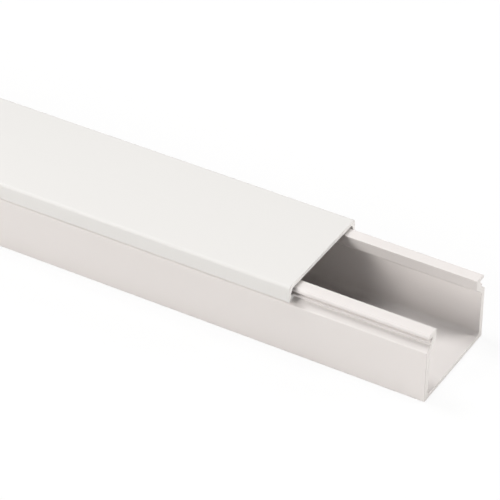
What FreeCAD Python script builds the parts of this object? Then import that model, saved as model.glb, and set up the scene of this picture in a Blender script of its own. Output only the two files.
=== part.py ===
import FreeCAD, Part
import math
import os

# Cord cover raceway: a base channel that is fixed to the wall and a cover that
# clips over its two rails. Both are white extruded strips of one length, and the
# cover is slid back along the base, so the base's front end stands open.
# Axes: +X along the strips towards the open end, +Y across, +Z up from the wall.
# The origin is the middle of the base's underside.

# Length that both strips are cut to, and how far the cover is slid back
length = 400.0
set_back = 28.0

# Base channel: floor, walls and outer corners
base_width = 23.2
wall = 1.25
floor = 0.9
bottom_round = 0.25
inside_round = 1.0

# Rail on each wall: flat head, nose with a lead for the hooks, waist and inner face
rail_height = 14.85
rail_inset = 3.5
rail_depth = 2.2
rail_edge_round = 0.12
nose_inset = 0.7
nose_thickness = 0.9
nose_lead = 0.35
nose_lead_round = 0.25
nose_edge_round = 0.12
waist_inset = 2.0
waist_opening = 0.65

# Small rib at the foot of the rail, the recess below it and the sloped shoulder
rib_inset = 1.15
rib_height = 1.0
rib_lead = 0.35
rib_round = 0.2
recess_inset = 1.6
recess_round = 0.15
shoulder_drop = 1.0
shoulder_round = 0.3
jog_drop = 1.9

# Cover: plate, skirts and the hooks that catch under the noses
plate = 0.85
skirt_root = 1.2
skirt = 0.6
skirt_depth = 3.45
skirt_edge_round = 0.15
cover_round = 0.65
cover_inside_round = 0.5
hook_height = 0.95
hook_grip = 0.2
hook_round = 0.22
hook_lead = 0.35

# Play between rail and plate, and how far the skirts clear the planes of the walls
play = 0.2
skirt_gap = 0.3


def corner(before, here, after, radius):
    """Tangent points and middle point of the arc that rounds one corner."""
    to_before = (before[0] - here[0], before[1] - here[1])
    to_after = (after[0] - here[0], after[1] - here[1])
    a = math.hypot(to_before[0], to_before[1])
    b = math.hypot(to_after[0], to_after[1])
    u = (to_before[0] / a, to_before[1] / a)
    v = (to_after[0] / b, to_after[1] / b)
    half = 0.5 * math.acos(u[0] * v[0] + u[1] * v[1])
    reach = radius / math.tan(half)
    start = (here[0] + u[0] * reach, here[1] + u[1] * reach)
    end = (here[0] + v[0] * reach, here[1] + v[1] * reach)
    way = math.hypot(u[0] + v[0], u[1] + v[1])
    inward = radius / math.sin(half) - radius
    middle = (here[0] + (u[0] + v[0]) / way * inward, here[1] + (u[1] + v[1]) / way * inward)
    return start, middle, end


def outline(corners, x):
    """Closed wire across the strip at x from corners (y, z, radius)."""
    def at(p):
        return FreeCAD.Vector(x, p[0], p[1])

    arcs = []
    count = len(corners)
    for i in range(count):
        here = corners[i]
        if here[2] > 0.0:
            arcs.append(corner(corners[i - 1], here, corners[(i + 1) % count], here[2]))
        else:
            arcs.append((here, here, here))
    edges = []
    for i in range(count):
        start, middle, end = arcs[i]
        if corners[i][2] > 0.0:
            edges.append(Part.Arc(at(start), at(middle), at(end)).toShape())
        following = arcs[(i + 1) % count][0]
        if math.hypot(following[0] - end[0], following[1] - end[1]) > 1e-6:
            edges.append(Part.makeLine(at(end), at(following)))
    return Part.Wire(edges)


def both_sides(half):
    """Corners of the whole section from the corners of its +Y half."""
    return half + [(-y, z, radius) for y, z, radius in reversed(half)]


def strip(half, x_start):
    """Straight strip with the given half section, starting at x_start."""
    face = Part.Face(outline(both_sides(half), x_start))
    return face.extrude(FreeCAD.Vector(length, 0.0, 0.0))


def make_base_channel():
    """Floor, two walls, sloped shoulders and the two rails, as one extrusion."""
    side = base_width / 2.0
    rib = side - rib_inset
    recess = side - recess_inset
    waist = side - waist_inset
    nose = side - nose_inset
    rail = side - rail_inset
    nose_bottom = rail_height - nose_thickness
    rib_top = nose_bottom - waist_opening
    rib_foot = rib_top - rib_height
    half = [
        (side, 0.0, bottom_round),
        (side, rib_foot - shoulder_drop, shoulder_round),
        (recess, rib_foot, recess_round),
        (rib, rib_top - rib_lead, rib_round),
        (waist, rib_top, 0.0),
        (waist, nose_bottom, 0.0),
        (nose, nose_bottom, nose_edge_round),
        (nose, rail_height - nose_lead, nose_lead_round),
        (nose - nose_lead, rail_height, nose_lead_round),
        (rail, rail_height, rail_edge_round),
        (rail, rail_height - rail_depth, rail_edge_round),
        (side - wall, rail_height - rail_depth - jog_drop, inside_round / 2.0),
        (side - wall, floor, inside_round),
    ]
    return strip(half, -length / 2.0)


def make_snap_cover():
    """Flat plate with two skirts whose hooks catch under the noses of the rails."""
    side = base_width / 2.0 + skirt_gap + skirt
    under = rail_height + play
    top = under + plate
    skirt_end = top - skirt_depth
    hook_tip = base_width / 2.0 - nose_inset - hook_grip
    half = [
        (side - skirt_root, under, cover_inside_round),
        (side - skirt, skirt_end + hook_height + hook_lead, 0.0),
        (hook_tip, skirt_end + hook_height, hook_round),
        (hook_tip, skirt_end + hook_lead, hook_round),
        (side - skirt, skirt_end, 0.0),
        (side, skirt_end, skirt_edge_round),
        (side, top, cover_round),
    ]
    return strip(half, -length / 2.0 - set_back)


os.makedirs("parts", exist_ok=True)
make_base_channel().exportStep("parts/base_channel.step")
make_snap_cover().exportStep("parts/snap_cover.step")
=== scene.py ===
# %% [markdown]
# # A cord cover raceway, dressed for a studio picture
# The real object is two white PVC strips pushed out of a die: a base channel and a
# cover that clips over its two rails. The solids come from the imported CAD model, so
# this script only adds what CAD does not have: finer roundings, softened saw cuts,
# the faint lines the die leaves, a studio and a camera.

import math

import bpy
from mathutils import Matrix, Vector
from mathutils.geometry import tessellate_polygon


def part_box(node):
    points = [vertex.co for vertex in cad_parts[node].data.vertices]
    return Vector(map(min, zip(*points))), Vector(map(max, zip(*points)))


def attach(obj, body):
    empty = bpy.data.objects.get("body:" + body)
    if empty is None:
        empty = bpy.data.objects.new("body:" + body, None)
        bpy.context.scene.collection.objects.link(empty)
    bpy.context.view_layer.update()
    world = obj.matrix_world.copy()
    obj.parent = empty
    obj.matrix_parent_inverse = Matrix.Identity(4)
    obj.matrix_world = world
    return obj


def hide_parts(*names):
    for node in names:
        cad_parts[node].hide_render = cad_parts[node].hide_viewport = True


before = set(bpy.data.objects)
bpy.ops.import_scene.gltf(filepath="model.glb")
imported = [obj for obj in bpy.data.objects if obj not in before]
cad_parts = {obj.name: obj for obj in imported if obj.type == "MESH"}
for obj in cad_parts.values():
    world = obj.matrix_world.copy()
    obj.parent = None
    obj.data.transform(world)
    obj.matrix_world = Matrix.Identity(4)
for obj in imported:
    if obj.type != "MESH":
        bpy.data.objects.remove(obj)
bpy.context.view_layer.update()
base_low, base_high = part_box("base_channel")
cover_low, cover_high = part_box("snap_cover")

# %% [markdown]
# ## The camera
# The photograph was taken from far away with a long lens: the strips' long edges run
# nearly parallel. Three angles and a place describe it. The place is measured from
# the open end of the base, which is the corner that all sizes in the picture hang on.

# %% The camera's angles, place and lens
CAMERA_AZIMUTH = math.radians(29.773)
CAMERA_ELEVATION = math.radians(36.618)
CAMERA_ROLL = math.radians(0.715)
CAMERA_FROM_OPEN_END = Vector((0.188636, -0.405889, 0.358096))
FOCAL_PIXELS = 3093.3
PICTURE_PIXELS = 500.0
SENSOR_WIDTH = 36.0
open_end = Vector((base_high.x, 0.0, 0.0))
print("open end of the base:", tuple(round(c, 3) for c in open_end))


# %% A helper that turns the camera's angles into a matrix
def camera_matrix(place, azimuth, elevation, roll):
    """World matrix of a camera from where it stands and the way it looks."""
    back = Vector((math.sin(azimuth) * math.cos(elevation),
                   -math.cos(azimuth) * math.cos(elevation),
                   math.sin(elevation)))
    right = Vector((math.cos(azimuth), math.sin(azimuth), 0.0))
    up = back.cross(right)
    rolled_right = right * math.cos(roll) + up * math.sin(roll)
    rolled_up = up * math.cos(roll) - right * math.sin(roll)
    turn = Matrix((rolled_right, rolled_up, back)).transposed()
    return Matrix.Translation(place) @ turn.to_4x4()


# %% Place the camera at the photograph's viewing angle
camera_data = bpy.data.cameras.new("studio_camera")
camera_data.sensor_width = SENSOR_WIDTH
camera_data.lens = FOCAL_PIXELS / PICTURE_PIXELS * SENSOR_WIDTH
camera_data.clip_start = 0.02
camera_data.clip_end = 20.0
camera = bpy.data.objects.new("studio_camera", camera_data)
bpy.context.scene.collection.objects.link(camera)
camera.matrix_world = camera_matrix(open_end + CAMERA_FROM_OPEN_END,
                                    CAMERA_AZIMUTH, CAMERA_ELEVATION, CAMERA_ROLL)
bpy.context.scene.camera = camera
print("camera lens", round(camera_data.lens, 1), "mm")

# %% [markdown]
# ## The two strips
# A die gives each real strip its section, with roundings much finer than the facets
# of the CAD mesh, and a saw cuts it to length. A bevel modifier on the CAD mesh would
# round its facets as well, and a curve with a bevel profile would leave the ends
# open. So each section is drawn again from its corners, with fine arcs, and carried
# along the strip in rings of points. The outer sizes come from the CAD boxes. The
# sections are in millimetres, and the finished meshes in metres.

# %% Half of the base's width, in millimetres
MM = 0.001
side = base_high.y / MM
print("base width", round(2.0 * side, 2), "mm")

# %% A helper that rounds the corners of a section
ARC_STEP = math.radians(12.0)


def rounded_section(half):
    """Points (y, z) of a whole section from the corners (y, z, radius) of its +Y half."""
    corners = half + [(-y, z, radius) for y, z, radius in reversed(half)]
    points = []
    for i, (y, z, radius) in enumerate(corners):
        here = Vector((y, z))
        if radius == 0.0:
            points.append(here)
            continue
        before = (Vector(corners[i - 1][:2]) - here).normalized()
        after = (Vector(corners[(i + 1) % len(corners)][:2]) - here).normalized()
        opening = before.angle(after)
        middle = here + (before + after).normalized() * (radius / math.sin(opening / 2.0))
        reach = radius / math.tan(opening / 2.0)
        first = here + before * reach - middle
        last = here + after * reach - middle
        sweep = math.copysign(first.angle(last), first.x * last.y - first.y * last.x)
        steps = max(2, math.ceil(abs(sweep) / ARC_STEP))
        for k in range(steps + 1):
            points.append(middle + Matrix.Rotation(sweep * k / steps, 2) @ first)
    return points


# %% A helper that shrinks a section a little, for the softened edge of a saw cut
SAW_EDGE = 0.05
LEAST_SLANT = 0.5


def shrunk(points, amount):
    """The section moved inward by amount; the points run anticlockwise."""
    moved = []
    for i, here in enumerate(points):
        along = (here - points[i - 1]).normalized()
        onward = (points[(i + 1) % len(points)] - here).normalized()
        off_along = Vector((-along.y, along.x))
        off_onward = Vector((-onward.y, onward.x))
        inward = (off_along + off_onward).normalized()
        moved.append(here + inward * amount / max(LEAST_SLANT, inward.dot(off_along)))
    return moved


# %% A helper that fills a cut end with triangles, all turned the same way
def cut_triangles(outline):
    """Triangles, as indices in anticlockwise order, that fill the outline of a cut."""
    triangles = []
    for a, b, c in tessellate_polygon([[Vector((p.x, p.y, 0.0)) for p in outline]]):
        to_b = outline[b] - outline[a]
        to_c = outline[c] - outline[a]
        turned_left = to_b.x * to_c.y - to_c.x * to_b.y > 0.0
        triangles.append((a, b, c) if turned_left else (c, b, a))
    return triangles


# %% A helper that says where the rings of points stand along a strip
STATIONS = 60


def ring_places(section, cut, x_start, x_end):
    """Rows (x, outline): the shrunk outline at both cuts and the section in between."""
    span = x_end - x_start
    rows = [(x_start, cut), (x_start + SAW_EDGE, section)]
    rows += [(x_start + span * k / STATIONS, section) for k in range(1, STATIONS)]
    return rows + [(x_end - SAW_EDGE, section), (x_end, cut)]


# %% A helper that joins each ring of points to the next
def skin_faces(rings, count):
    """Four-sided faces between neighbouring rings of count points each."""
    faces = []
    for ring in range(rings - 1):
        start = ring * count
        for i in range(count):
            j = (i + 1) % count
            faces.append((start + i, start + j, start + count + j, start + count + i))
    return faces


# %% A helper for the very slight wave that extruded strip has
WAVE_HEIGHT = 0.02
SHORT_WAVE = 31.0
LONG_WAVE = 83.0


def wave_at(x, phase):
    """How far the base's side stands out at x, in millimetres."""
    return WAVE_HEIGHT * math.sin(x / SHORT_WAVE + phase) * math.sin(x / LONG_WAVE)


# %% A helper that makes a whole strip from a section
SHARP_EDGE = math.radians(28.0)


def make_strip(name, half, x_start, x_end, wave_phase):
    """Closed strip with fine roundings, softened cut ends and a very slight wave."""
    section = rounded_section(half)
    cut = shrunk(section, SAW_EDGE)
    rows = ring_places(section, cut, x_start, x_end)
    points = []
    for x, outline in rows:
        wider = 1.0 + wave_at(x, wave_phase) / side
        points += [(x * MM, p.x * wider * MM, p.y * MM) for p in outline]
    cap = cut_triangles(cut)
    last_ring = len(points) - len(cut)
    faces = [tuple(reversed(triangle)) for triangle in cap]
    faces += skin_faces(len(rows), len(section))
    faces += [tuple(last_ring + i for i in triangle) for triangle in cap]
    mesh = bpy.data.meshes.new(name)
    mesh.from_pydata(points, [], faces)
    mesh.polygons.foreach_set("use_smooth", [True] * len(mesh.polygons))
    mesh.set_sharp_from_angle(angle=SHARP_EDGE)
    strip = bpy.data.objects.new(name, mesh)
    bpy.context.scene.collection.objects.link(strip)
    print(name, "points", len(points), "faces", len(faces))
    return strip


# %% [markdown]
# ### The base channel
# The lower half of the section is a plain channel. Its walls end in sloped shoulders,
# and each carries a rail that stands inward: a small rib, a narrow waist, and a head
# whose nose points outward for the cover's hook. The numbers repeat the CAD model's
# sizes, because the roundings have to sit on the same corners.

# %% The base's heights, counted down from the top of the rails
NOSE_THICKNESS = 0.9
WAIST_OPENING = 0.65
RIB_HEIGHT = 1.0
RAIL_DEPTH = 2.2
rail_height = base_high.z / MM
nose_bottom = rail_height - NOSE_THICKNESS
rib_top = nose_bottom - WAIST_OPENING
rib_foot = rib_top - RIB_HEIGHT
rail_foot = rail_height - RAIL_DEPTH
print("rail height", round(rail_height, 2), "mm")

# %% The base's other sizes: insets from the wall's outside, drops, leads and roundings
WALL = 1.25
FLOOR = 0.9
BOTTOM_ROUND = 0.25
INSIDE_ROUND = 1.0
RAIL_INSET = 3.5
RAIL_EDGE_ROUND = 0.12
NOSE_INSET = 0.7
NOSE_LEAD = 0.35
NOSE_LEAD_ROUND = 0.25
NOSE_EDGE_ROUND = 0.12
WAIST_INSET = 2.0
RIB_INSET = 1.15
RIB_LEAD = 0.35
RIB_ROUND = 0.2
RECESS_INSET = 1.6
RECESS_ROUND = 0.15
SHOULDER_DROP = 1.0
SHOULDER_ROUND = 0.3
JOG_DROP = 1.9
print("wall", WALL, "mm, floor", FLOOR, "mm")

# %% The base strip: floor, walls, sloped shoulders and the two rails
rail = side - RAIL_INSET
nose = side - NOSE_INSET
waist = side - WAIST_INSET
inside = side - WALL
base_half = [
    (side, 0.0, BOTTOM_ROUND),
    (side, rib_foot - SHOULDER_DROP, SHOULDER_ROUND),
    (side - RECESS_INSET, rib_foot, RECESS_ROUND),
    (side - RIB_INSET, rib_top - RIB_LEAD, RIB_ROUND),
    (waist, rib_top, 0.0),
    (waist, nose_bottom, 0.0),
    (nose, nose_bottom, NOSE_EDGE_ROUND),
    (nose, rail_height - NOSE_LEAD, NOSE_LEAD_ROUND),
    (nose - NOSE_LEAD, rail_height, NOSE_LEAD_ROUND),
    (rail, rail_height, RAIL_EDGE_ROUND),
    (rail, rail_foot, RAIL_EDGE_ROUND),
    (inside, rail_foot - JOG_DROP, INSIDE_ROUND / 2.0),
    (inside, FLOOR, INSIDE_ROUND),
]
base_strip = make_strip("base_strip", base_half, base_low.x / MM, base_high.x / MM,
                        wave_phase=0.4)
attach(base_strip, "base")
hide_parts("base_channel")

# %% [markdown]
# ### The cover
# A flat plate with a short skirt on each side. The hook along the bottom of a skirt
# reaches a little way under the nose of the rail, which is what holds the cover on.

# %% The cover's sizes
PLATE = 0.85
SKIRT_ROOT = 1.2
SKIRT = 0.6
SKIRT_DEPTH = 3.45
SKIRT_EDGE_ROUND = 0.15
COVER_ROUND = 0.65
COVER_INSIDE_ROUND = 0.5
HOOK_HEIGHT = 0.95
HOOK_GRIP = 0.2
HOOK_LEAD = 0.35
HOOK_ROUND = 0.22
cover_side = cover_high.y / MM
cover_top = cover_high.z / MM
print("cover width", round(2.0 * cover_side, 2), "mm, top at", round(cover_top, 2), "mm")

# %% The cover strip: plate, skirts and the hooks that catch under the noses
plate_under = cover_top - PLATE
skirt_end = cover_top - SKIRT_DEPTH
skirt_inside = cover_side - SKIRT
hook_tip = nose - HOOK_GRIP
cover_half = [
    (cover_side - SKIRT_ROOT, plate_under, COVER_INSIDE_ROUND),
    (skirt_inside, skirt_end + HOOK_HEIGHT + HOOK_LEAD, 0.0),
    (hook_tip, skirt_end + HOOK_HEIGHT, HOOK_ROUND),
    (hook_tip, skirt_end + HOOK_LEAD, HOOK_ROUND),
    (skirt_inside, skirt_end, 0.0),
    (cover_side, skirt_end, SKIRT_EDGE_ROUND),
    (cover_side, cover_top, COVER_ROUND),
]
cover_strip = make_strip("cover_strip", cover_half, cover_low.x / MM, cover_high.x / MM,
                         wave_phase=1.9)
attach(cover_strip, "cover")
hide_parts("snap_cover")

# %% [markdown]
# ## The plastic
# Extruded PVC is never quite flat: the die leaves faint lines along the strip, and a
# saw leaves fine marks across a cut end. Both could be modelled, but they are far
# finer than a millimetre, so they are bump in the shader. Each effect is one node
# group that both strips use.


# %% A helper that adds a node to a tree
def add_node(tree, kind, place, **values):
    """New node at a place in the editor, with its settings and its inputs by name."""
    node = tree.nodes.new(kind)
    node.location = place
    for name, value in values.items():
        if name in node.inputs:
            node.inputs[name].default_value = value
        else:
            setattr(node, name, value)
    return node


# %% A helper that mixes two colours or two numbers
MIX_SOCKETS = {"FLOAT": (2, 3, 0), "RGBA": (6, 7, 2)}


def mix(tree, kind, place, factor, first, second):
    """Output that goes from first to second, which are outputs or values, by factor."""
    first_input, second_input, output = MIX_SOCKETS[kind]
    node = add_node(tree, "ShaderNodeMix", place, data_type=kind)
    tree.links.new(factor, node.inputs[0])
    if isinstance(first, bpy.types.NodeSocket):
        tree.links.new(first, node.inputs[first_input])
    else:
        node.inputs[first_input].default_value = first
    if isinstance(second, bpy.types.NodeSocket):
        tree.links.new(second, node.inputs[second_input])
    else:
        node.inputs[second_input].default_value = second
    return node.outputs[output]


# %% A helper that starts a node group with its sockets
def new_group(name, vectors, numbers, results):
    """Group with vector inputs, number inputs with their values, and number outputs."""
    group = bpy.data.node_groups.new(name, "ShaderNodeTree")
    for label in vectors:
        group.interface.new_socket(label, in_out="INPUT", socket_type="NodeSocketVector")
    for label, value in numbers.items():
        socket = group.interface.new_socket(label, in_out="INPUT",
                                            socket_type="NodeSocketFloat")
        socket.default_value = value
    for label in results:
        group.interface.new_socket(label, in_out="OUTPUT", socket_type="NodeSocketFloat")
    given = add_node(group, "NodeGroupInput", (-900, 0))
    wanted = add_node(group, "NodeGroupOutput", (100, 0))
    return group, given.outputs, wanted.inputs


# %% A helper for noise that is drawn out along an axis
def drawn_out_noise(tree, place, position, squeeze, scale, **detail):
    """Noise output; an axis whose squeeze is under 1 has its pattern drawn out."""
    squeezed = add_node(tree, "ShaderNodeVectorMath", place, operation="MULTIPLY")
    squeezed.inputs[1].default_value = squeeze
    tree.links.new(position, squeezed.inputs[0])
    noise = add_node(tree, "ShaderNodeTexNoise", (place[0] + 200, place[1]), **detail)
    tree.links.new(squeezed.outputs[0], noise.inputs["Vector"])
    tree.links.new(scale, noise.inputs["Scale"])
    return noise.outputs["Fac"]


# %% Node group: the faint lines that the die leaves along the strip
ALONG_THE_STRIP = (0.004, 1.0, 1.0)


def make_die_lines():
    group, given, wanted = new_group("die_lines", ["Position"],
                                     {"Lines per metre": 2500.0}, ["Height"])
    height = drawn_out_noise(group, (-600, 0), given["Position"], ALONG_THE_STRIP,
                             given["Lines per metre"], Detail=3.0, Roughness=0.6)
    group.links.new(height, wanted["Height"])
    return group


die_lines = make_die_lines()
print("node group:", die_lines.name)

# %% Node group: a mask for the cut ends and the fine marks of the saw
ACROSS_THE_CUT = (1.0, 0.15, 1.0)
CUT_BEGINS = 0.6
CUT_IS_WHOLE = 0.9


def make_saw_cut():
    group, given, wanted = new_group("saw_cut", ["Position", "Normal"],
                                     {"Marks per metre": 5000.0}, ["Mask", "Height"])
    split = add_node(group, "ShaderNodeSeparateXYZ", (-600, 200))
    group.links.new(given["Normal"], split.inputs[0])
    size = add_node(group, "ShaderNodeMath", (-400, 200), operation="ABSOLUTE")
    group.links.new(split.outputs["X"], size.inputs[0])
    mask = add_node(group, "ShaderNodeMapRange", (-200, 200))
    mask.inputs["From Min"].default_value = CUT_BEGINS
    mask.inputs["From Max"].default_value = CUT_IS_WHOLE
    group.links.new(size.outputs[0], mask.inputs["Value"])
    group.links.new(mask.outputs[0], wanted["Mask"])
    height = drawn_out_noise(group, (-600, -100), given["Position"], ACROSS_THE_CUT,
                             given["Marks per metre"], Detail=2.0, Roughness=0.7)
    group.links.new(height, wanted["Height"])
    return group


saw_cut = make_saw_cut()
print("node group:", saw_cut.name)

# %% Node group: slow changes of tone and gloss from handling and storage
LONG_PATCHES = (0.35, 1.0, 1.0)


def make_handling():
    group, given, wanted = new_group("handling", ["Position"],
                                     {"Patches per metre": 40.0}, ["Mask"])
    mask = drawn_out_noise(group, (-600, 0), given["Position"], LONG_PATCHES,
                           given["Patches per metre"], Detail=4.0, Roughness=0.55)
    group.links.new(mask, wanted["Mask"])
    return group


handling = make_handling()
print("node group:", handling.name)

# %% [markdown]
# A saw whitens PVC: the cut face is rough and full of tiny cracks that scatter the
# light, so it looks paler than the skin that the die leaves. The mask of the cut ends
# therefore lifts the colour and takes the gloss away. The lift is only partly that real
# whitening; the rest is painted light, which makes the cut ends as bright as light from
# the side would.

# %% The colours and the gloss of the two strips
BASE_WHITE = (0.722, 0.695, 0.683)
COVER_WHITE = (0.702, 0.697, 0.686)
# The cut colours hold the saw's real whitening plus painted light on the cut ends.
BASE_CUT_WHITE_AND_PAINTED_LIGHT = (0.785, 0.762, 0.747)
COVER_CUT_WHITE_AND_PAINTED_LIGHT = (0.920, 0.914, 0.902)
BASE_ROUGHNESS = 0.42
COVER_ROUGHNESS = 0.55
CUT_ROUGHNESS = 0.7
HANDLED_TONE = 0.985
HANDLED_GLOSS = 0.05
LINE_HEIGHT = 0.00002
RELIEF_STRENGTH = 0.35
PVC_IOR = 1.52
PVC_SHINE = 0.35
print("roughness: base", BASE_ROUGHNESS, "cover", COVER_ROUGHNESS, "cut", CUT_ROUGHNESS)


# %% The white PVC, made once for each strip
def make_white_pvc(name, colour, cut_white_and_painted_light, roughness):
    material = bpy.data.materials.new(name)
    material.use_nodes = True
    tree = material.node_tree
    shader = tree.nodes["Principled BSDF"]
    shader.inputs["IOR"].default_value = PVC_IOR
    shader.inputs["Specular IOR Level"].default_value = PVC_SHINE
    coords = add_node(tree, "ShaderNodeTexCoord", (-1400, 0))
    lines = add_node(tree, "ShaderNodeGroup", (-1000, -200), node_tree=die_lines)
    cut = add_node(tree, "ShaderNodeGroup", (-1000, -450), node_tree=saw_cut)
    patches = add_node(tree, "ShaderNodeGroup", (-1000, 200), node_tree=handling)
    for user in (lines, cut, patches):
        tree.links.new(coords.outputs["Object"], user.inputs["Position"])
    tree.links.new(coords.outputs["Normal"], cut.inputs["Normal"])

    handled_colour = (*[c * HANDLED_TONE for c in colour], 1.0)
    tone = mix(tree, "RGBA", (-700, 250), patches.outputs["Mask"],
               handled_colour, (*colour, 1.0))
    # Painted light: the cut ends are lifted towards the cut colour, partly for the saw's
    # whitening and partly in place of light from the side.
    whitened_and_painted_light = mix(tree, "RGBA", (-450, 250), cut.outputs["Mask"],
                   tone, (*cut_white_and_painted_light, 1.0))
    tree.links.new(whitened_and_painted_light, shader.inputs["Base Color"])

    gloss = add_node(tree, "ShaderNodeMapRange", (-700, 0))
    gloss.inputs["To Min"].default_value = roughness - HANDLED_GLOSS
    gloss.inputs["To Max"].default_value = roughness + HANDLED_GLOSS
    tree.links.new(patches.outputs["Mask"], gloss.inputs["Value"])
    dull = mix(tree, "FLOAT", (-450, 0), cut.outputs["Mask"],
               gloss.outputs[0], CUT_ROUGHNESS)
    tree.links.new(dull, shader.inputs["Roughness"])

    relief = mix(tree, "FLOAT", (-700, -300), cut.outputs["Mask"],
                 lines.outputs["Height"], cut.outputs["Height"])
    bump = add_node(tree, "ShaderNodeBump", (-450, -300), Strength=RELIEF_STRENGTH,
                    Distance=LINE_HEIGHT)
    tree.links.new(relief, bump.inputs["Height"])
    tree.links.new(bump.outputs["Normal"], shader.inputs["Normal"])
    return material


# %% Give each strip its plastic
base_pvc = make_white_pvc("white_pvc_base", BASE_WHITE, BASE_CUT_WHITE_AND_PAINTED_LIGHT, BASE_ROUGHNESS)
cover_pvc = make_white_pvc("white_pvc_cover", COVER_WHITE, COVER_CUT_WHITE_AND_PAINTED_LIGHT,
                           COVER_ROUGHNESS)
base_strip.data.materials.append(base_pvc)
cover_strip.data.materials.append(cover_pvc)
print("materials:", base_pvc.name, cover_pvc.name)

# %% [markdown]
# ## The studio
# The picture is a product shot on pure white. The floor is white too, and what the
# camera sees of it is lifted towards white, so it keeps only a trace of the shadow.

# %% The floor's mesh
FLOOR_REACH = 4.0
FLOOR_SINK = 0.00005
floor_mesh = bpy.data.meshes.new("studio_floor")
floor_corners = [(x, y, 0.0) for x, y in ((-FLOOR_REACH, -FLOOR_REACH),
                                          (FLOOR_REACH, -FLOOR_REACH),
                                          (FLOOR_REACH, FLOOR_REACH),
                                          (-FLOOR_REACH, FLOOR_REACH))]
floor_mesh.from_pydata(floor_corners, [], [(0, 1, 2, 3)])
floor = bpy.data.objects.new("studio_floor", floor_mesh)
bpy.context.scene.collection.objects.link(floor)
floor.location.z = -FLOOR_SINK
print("floor", floor.name)

# %% The floor's material, lifted towards white for the camera alone
FLOOR_WHITE = (0.88, 0.88, 0.88, 1.0)
LIFT_TO_WHITE = 0.9
floor_material = bpy.data.materials.new("studio_floor")
floor_material.use_nodes = True
floor_tree = floor_material.node_tree
floor_shader = floor_tree.nodes["Principled BSDF"]
floor_shader.inputs["Base Color"].default_value = FLOOR_WHITE
floor_shader.inputs["Roughness"].default_value = 0.9
floor_shader.inputs["Specular IOR Level"].default_value = 0.1
glow = add_node(floor_tree, "ShaderNodeEmission", (0, -300), Strength=1.0)
path = add_node(floor_tree, "ShaderNodeLightPath", (-600, 300))
seen = add_node(floor_tree, "ShaderNodeMath", (-300, 300), operation="MULTIPLY")
seen.inputs[1].default_value = LIFT_TO_WHITE
blend = add_node(floor_tree, "ShaderNodeMixShader", (300, 0))
floor_output = floor_tree.nodes["Material Output"]
floor_tree.links.new(path.outputs["Is Camera Ray"], seen.inputs[0])
floor_tree.links.new(seen.outputs[0], blend.inputs[0])
floor_tree.links.new(floor_shader.outputs[0], blend.inputs[1])
floor_tree.links.new(glow.outputs[0], blend.inputs[2])
floor_tree.links.new(blend.outputs[0], floor_output.inputs["Surface"])
floor_mesh.materials.append(floor_material)
print("floor material:", floor_material.name)

# %% [markdown]
# Past the floor's edge there is only the world. Its own light is very weak, because
# the lamps do the work, but the camera and any gloss see it as plain white.

# %% World
FILL_LIGHT = 0.02
PLAIN_WHITE = (1.0, 1.0, 1.0, 1.0)
world = bpy.data.worlds.new("studio_world")
bpy.context.scene.world = world
world.use_nodes = True
world_tree = world.node_tree
fill = world_tree.nodes["Background"]
fill.inputs["Color"].default_value = PLAIN_WHITE
fill.inputs["Strength"].default_value = FILL_LIGHT
white = add_node(world_tree, "ShaderNodeBackground", (0, -200), Strength=1.0,
                 Color=PLAIN_WHITE)
world_path = add_node(world_tree, "ShaderNodeLightPath", (-600, 300))
seen_or_gloss = add_node(world_tree, "ShaderNodeMath", (-400, 300), operation="MAXIMUM")
seen_any = add_node(world_tree, "ShaderNodeMath", (-200, 300), operation="MAXIMUM")
world_mix = add_node(world_tree, "ShaderNodeMixShader", (200, 0))
world_output = world_tree.nodes["World Output"]
world_tree.links.new(world_path.outputs["Is Camera Ray"], seen_or_gloss.inputs[0])
world_tree.links.new(world_path.outputs["Is Glossy Ray"], seen_or_gloss.inputs[1])
world_tree.links.new(seen_or_gloss.outputs[0], seen_any.inputs[0])
world_tree.links.new(world_path.outputs["Is Transmission Ray"], seen_any.inputs[1])
world_tree.links.new(seen_any.outputs[0], world_mix.inputs[0])
world_tree.links.new(fill.outputs[0], world_mix.inputs[1])
world_tree.links.new(white.outputs[0], world_mix.inputs[2])
world_tree.links.new(world_mix.outputs[0], world_output.inputs["Surface"])
print("world:", world.name)

# %% [markdown]
# The light comes mostly from high on the left, because the cover's end shades the
# first millimetre of the rails. Weaker lamps at the front and the back right fill the
# walls and the cut ends. The high lamp stands twice as far away as the others, so
# that it lights the whole length of the strips evenly.

# %% A helper that sets up a soft lamp
STUDIO_MIDDLE = Vector((0.17, 0.0, 0.0))
LAMP_SPREAD = 0.42308


def add_lamp(name, azimuth, elevation, distance, watts, colour):
    """Square soft lamp, turned towards the open end; its size grows with distance."""
    around = math.radians(azimuth)
    upward = math.radians(elevation)
    out = Vector((math.sin(around) * math.cos(upward),
                  -math.cos(around) * math.cos(upward),
                  math.sin(upward)))
    data = bpy.data.lights.new(name, "AREA")
    data.shape = "SQUARE"
    data.size = LAMP_SPREAD * distance
    data.energy = watts
    data.color = colour
    lamp = bpy.data.objects.new(name, data)
    bpy.context.scene.collection.objects.link(lamp)
    turn = out.to_track_quat("Z", "Y").to_matrix().to_4x4()
    lamp.matrix_world = Matrix.Translation(STUDIO_MIDDLE + out * distance) @ turn
    return lamp


# %% The three lamps
NEUTRAL = (1.0, 1.0, 1.0)
WARM = (1.0, 0.97, 0.94)
add_lamp("high_left_light", azimuth=270.0, elevation=61.0, distance=2.6, watts=49.2,
         colour=NEUTRAL)
add_lamp("front_left_light", azimuth=331.0, elevation=27.0, distance=1.3, watts=10.5,
         colour=WARM)
add_lamp("back_right_light", azimuth=125.0, elevation=32.0, distance=1.3, watts=10.6,
         colour=WARM)

# %% [markdown]
# ## The last lines
# The Standard view leaves colours as they are written.

# %% Colour handling
bpy.context.scene.view_settings.view_transform = "Standard"
